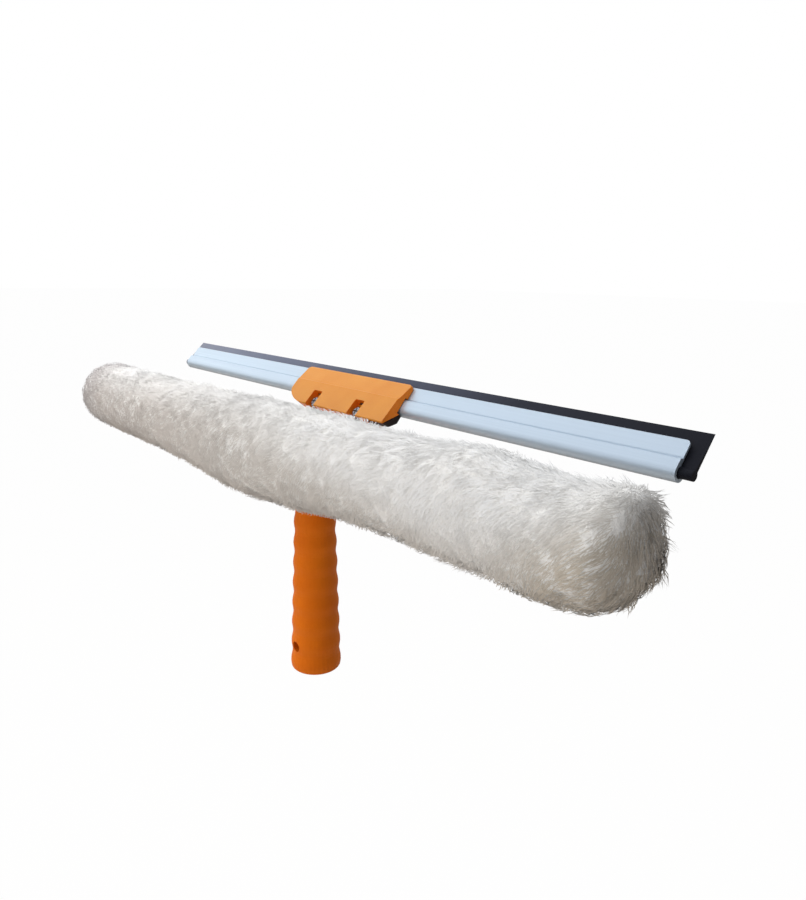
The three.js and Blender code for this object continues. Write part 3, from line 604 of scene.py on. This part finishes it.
def growth(tuft, shapes):
    tree = bpy.data.node_groups.new("pileGrowth", "GeometryNodeTree")
    for name, kind in (("Cloth", "Geometry"), ("Start", "Float"), ("End", "Float")):
        tree.interface.new_socket(name=name, in_out="INPUT", socket_type="NodeSocket" + kind)
    tree.interface.new_socket(name="Pile", in_out="OUTPUT", socket_type="NodeSocketGeometry")
    board = Board(tree)

    def stored(name, kind="FLOAT"):
        return board.add("GeometryNodeInputNamedAttribute", {"data_type": kind}, {"Name": name})

    def chance(low, high, seed, kind="FLOAT"):
        return board.add("FunctionNodeRandomValue", {"data_type": kind},
                         {"Min": low, "Max": high, "Seed": seed})

    def marked(grown, name, value, kind="FLOAT"):
        return board.add("GeometryNodeStoreNamedAttribute", {"data_type": kind, "domain": "INSTANCE"},
                         {"Geometry": grown, "Name": name, "Value": value})

    given = board.add("NodeGroupInput")
    spots = board.add("GeometryNodeDistributePointsOnFaces", {}, {
        "Mesh": given, "Seed": sleeve["seed"], "Density": stored("density") * tuft["perArea"]})
    where = board.add("GeometryNodeInputPosition")
    x = board.split(where)
    inside = x.math("GREATER_THAN", x, given.other("Start")) * x.math("LESS_THAN", x, given.other("End"))

    cells = board.add("ShaderNodeTexVoronoi", {"feature": "F1"}, {"Vector": where, "Scale": 1 / pile["lock"]})
    toCentre = board.vector("SUBTRACT", cells.other("Position"), where)
    leanOfLock = board.vector("SUBTRACT", cells.other("Color"), (0.5, 0.5, 0.5))
    comb = stored("comb", "FLOAT_VECTOR")
    jitter = chance((-pile["jitter"],) * 3, (pile["jitter"],) * 3, pile["jitterSeed"], "FLOAT_VECTOR")
    lie = board.vector("ADD", board.vector("SCALE", spots.other("Normal"), scale=pile["stand"]), comb)
    lie = board.vector("ADD", lie, board.vector("SCALE", toCentre, scale=pile["pull"] / pile["lock"]))
    lie = board.vector("ADD", lie, board.vector("SCALE", leanOfLock, scale=pile["lean"]))
    lie = board.vector("NORMALIZE", board.vector("ADD", lie, jitter))
    turn = board.add("FunctionNodeAxesToRotation", {"primary_axis": "Z", "secondary_axis": "X"}, {
        "Primary Axis": lie, "Secondary Axis": comb})
    spin = chance((0, 0, -pile["spin"]), (0, 0, pile["spin"]), pile["spinSeed"], "FLOAT_VECTOR")
    turn = board.add("FunctionNodeRotateRotation", {"rotation_space": "LOCAL"}, {
        "Rotation": turn, "Rotate By": spin})
    longer = chance(pile["shortest"], pile["longest"], pile["lengthSeed"])
    size = board.add("ShaderNodeCombineXYZ", {}, {
        "X": tuft["spread"], "Y": tuft["spread"], "Z": stored("reach") * longer})

    each = board.add("GeometryNodeCollectionInfo", {}, {
        "Collection": shapes, "Separate Children": True, "Reset Children": True})
    grown = board.add("GeometryNodeInstanceOnPoints", {}, {
        "Points": spots, "Selection": inside, "Instance": each, "Pick Instance": True,
        "Instance Index": chance(0, tuft["kinds"] - 1, pile["kindSeed"], "INT"),
        "Rotation": turn, "Scale": size})
    lockTone, ownTone = board.split(cells.other("Color")), chance(0.0, 1.0, pile["toneSeed"])
    grown = marked(grown, "tone", lockTone * pile["lockTone"] + ownTone * pile["ownTone"])
    grown = marked(grown, "outward", spots.other("Normal"), "FLOAT_VECTOR")
    grown = board.add("GeometryNodeRealizeInstances", {}, {"Geometry": grown})
    outward = board.vector("NORMALIZE", stored("outward", "FLOAT_VECTOR"))  # pile is lit as the cloth is
    grown = board.add("GeometryNodeSetMeshNormal", {"mode": "FREE", "domain": "POINT"}, {
        "Mesh": grown, "Custom Normal": outward})
    board.add("NodeGroupOutput", {}, {"Pile": grown})
    return tree


# the pile's colour: random tone and patches, painted light on the far half, painted shade at the roots,
# underside and both ends
pileColourAndShade = {
    "barReach": (0.25, -0.24),
    # painted light: the pile is paler over the far half, where the light falls stronger
    "alongPaintedLight": [(0, (0.84, 0.86, 0.885, 1)), (0.25, (0.84, 0.85, 0.865, 1)), (0.42, (0.86, 0.865, 0.87, 1)),
              (0.72, (0.96, 0.96, 0.965, 1)), (1, (0.95, 0.945, 0.95, 1))],
    "patchScale": 16, "patchDetail": 2.0, "patchGain": 2.2, "patchBase": 0.6,
    "patch": (0.985, 0.97, 0.945, 1),
    "paintedRootShadeCurve": 1.5, "paintedRootShadeShare": 0.55, "root": (0.78, 0.76, 0.72, 1),
    "toneGain": 1.5, "toneBase": 0.5, "toneShare": 0.25, "tone": (0.80, 0.785, 0.76, 1),
    "dull": [(0, (0.72, 0.69, 0.645, 1)), (0.3, (0.60, 0.565, 0.525, 1)), (0.5, (0.60, 0.56, 0.52, 1)),
             (0.8, (0.58, 0.525, 0.485, 1))],
    "paintedUnderReach": 0.017, "paintedUnderShare": 0.85, "paintedUnderBase": 0.1,
    "paintedUnderTo": 0.18, "paintedUnderSlope": 6, "paintedUnderBy": 1.5, "farSlope": -7, "farBy": 0.3,
    "openFrom": -0.180, "openReach": 0.036, "openShare": 1.0, "open": (0.53, 0.49, 0.485, 1),
    "from": 0.187, "reach": 0.050, "upper": 1.05, "lower": 0.6, "curve": 0.75, "share": 0.80,
    "grey": (0.50, 0.50, 0.51, 1), "brown": (0.48, 0.42, 0.335, 1),
    "fuzzScale": 420, "fuzzDetail": 4.0, "fuzz": (0.80, 0.78, 0.74, 1), "bump": 0.8, "bumpDepth": 0.001,
    "roughness": 0.8, "sheen": 0.25, "sheenRoughness": 0.5, "shine": 0.25,
}


def strandColourAndShade(board, alongPaintedLight):  # the colour of the strands, from root to tip and from end to end, with painted shade at the roots, on the underside and at both ends, and painted light on the far half
    tints = pileColourAndShade
    along = board.add("ShaderNodeAttribute", {"attribute_name": "along"}).other("Fac")
    tone = board.add("ShaderNodeAttribute", {"attribute_name": "tone"}).other("Fac")
    # painted shade between the strands: roots darker and warmer, partly the fibres' own creamier roots
    colour = board.mixed((1 - along) ** tints["paintedRootShadeCurve"] * tints["paintedRootShadeShare"], alongPaintedLight, tints["root"])
    toned = (tone * tints["toneGain"] - tints["toneBase"]).held() * tints["toneShare"]
    colour = board.mixed(toned, colour, tints["tone"])

    x = board.split(board.reading("Object"))
    low = sleeve["axisZ"] - x.other("Z")
    paintedUnderFrom = (((tints["paintedUnderTo"] - x) * tints["paintedUnderSlope"]).held() * tints["paintedUnderBy"]
                - (x * tints["farSlope"]).held() * tints["farBy"] - tints["paintedUnderBase"])
    dull = (low * (1 / tints["paintedUnderReach"]) + paintedUnderFrom).held()  # painted shade: the underside is painted darker and warmer
    colour = board.mixed(dull * tints["paintedUnderShare"], colour, alongBar(board, tints["barReach"], tints["dull"]))
    # painted shade: the far end's tip is painted darker
    opened = ((tints["openFrom"] - x) * (1 / tints["openReach"])).held()
    colour = board.mixed(opened * tints["openShare"], colour, tints["open"])
    # painted shade: the closed near end is painted grey-brown, darkest low on its end face
    closed = x + low * tints["lower"] - (0 - low).held() * tints["upper"] - tints["from"]
    closed = (closed * (1 / tints["reach"])).held() ** tints["curve"]
    return board.mixed(closed * tints["share"], colour, board.mixed(closed, tints["grey"], tints["brown"]))


def pileFinish(name, strands):
    made, board = newMaterial(name)
    patches = grain(board, pileColourAndShade["patchScale"], pileColourAndShade["patchDetail"])
    patched = (patches * pileColourAndShade["patchGain"] - pileColourAndShade["patchBase"]).held()
    alongPaintedLight = alongBar(board, pileColourAndShade["barReach"], pileColourAndShade["alongPaintedLight"])
    warm = board.mixed(patched, alongPaintedLight, pileColourAndShade["patch"], "MULTIPLY")
    if strands:
        sockets = {"Base Color": strandColourAndShade(board, warm)}
    else:
        fuzz = grain(board, pileColourAndShade["fuzzScale"], pileColourAndShade["fuzzDetail"])
        sockets = {"Base Color": board.mixed(fuzz, pileColourAndShade["fuzz"], warm),
                   "Normal": board.bumped(pileColourAndShade["bump"], pileColourAndShade["bumpDepth"], fuzz)}
    finishMaterial(board, {**sockets, "Roughness": pileColourAndShade["roughness"], "Sheen Weight": pileColourAndShade["sheen"],
                           "Sheen Roughness": pileColourAndShade["sheenRoughness"],
                           "Specular IOR Level": pileColourAndShade["shine"]})
    return made


def grownOver(cloth, tree, start, end):  # the pile on one stretch of the cloth, as a mesh
    bare = bpy.data.objects.new("growing", cloth.data)
    scene.collection.objects.link(bare)
    modifier = bare.modifiers.new("pile", "NODES")
    modifier.node_group = tree
    modifier["Socket_1"], modifier["Socket_2"] = start, end
    mesh = bpy.data.meshes.new_from_object(bare.evaluated_get(bpy.context.evaluated_depsgraph_get()))
    bpy.data.objects.remove(bare)
    for extra in ("density", "reach", "comb", "outward"):
        if extra in mesh.attributes:
            mesh.attributes.remove(mesh.attributes[extra])
    return mesh


def growPile(cloth):
    finish = pileFinish("pile", True)
    shapes = {kind: tuftShapes(tufts[kind], finish) for kind in tufts}
    trees = {kind: growth(tufts[kind], shapes[kind]) for kind in tufts}
    start, end = (c.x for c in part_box("washer_sleeve"))
    step = (end - start) / pile["sections"]
    total = 0
    for k in range(pile["sections"]):
        first, last = start + step * k, start + step * (k + 1)
        tree = trees["long" if first + last > 0 else "short"]
        if k == 0:
            first -= 1  # the end pieces take in all that lies past them
        if k == pile["sections"] - 1:
            last += 1
        mesh = grownOver(cloth, tree, first, last)
        mesh.name = f"pile_{k + 1}"
        piece = newPiece(mesh.name, mesh, finish, "sleeve")
        piece.visible_shadow = False  # fibres this fine let most of the light through
        mesh.calc_loop_triangles()
        total += len(mesh.loop_triangles)
        print(mesh.name, len(mesh.loop_triangles), "triangles")
    print("pile:", total, "triangles")
    for holder in shapes.values():
        for lost in list(holder.objects):
            bpy.data.objects.remove(lost)
        bpy.data.collections.remove(holder)


cloth = wovenSkin(pileFinish("sleeve_cloth", False))
growPile(cloth)
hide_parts("washer_sleeve")
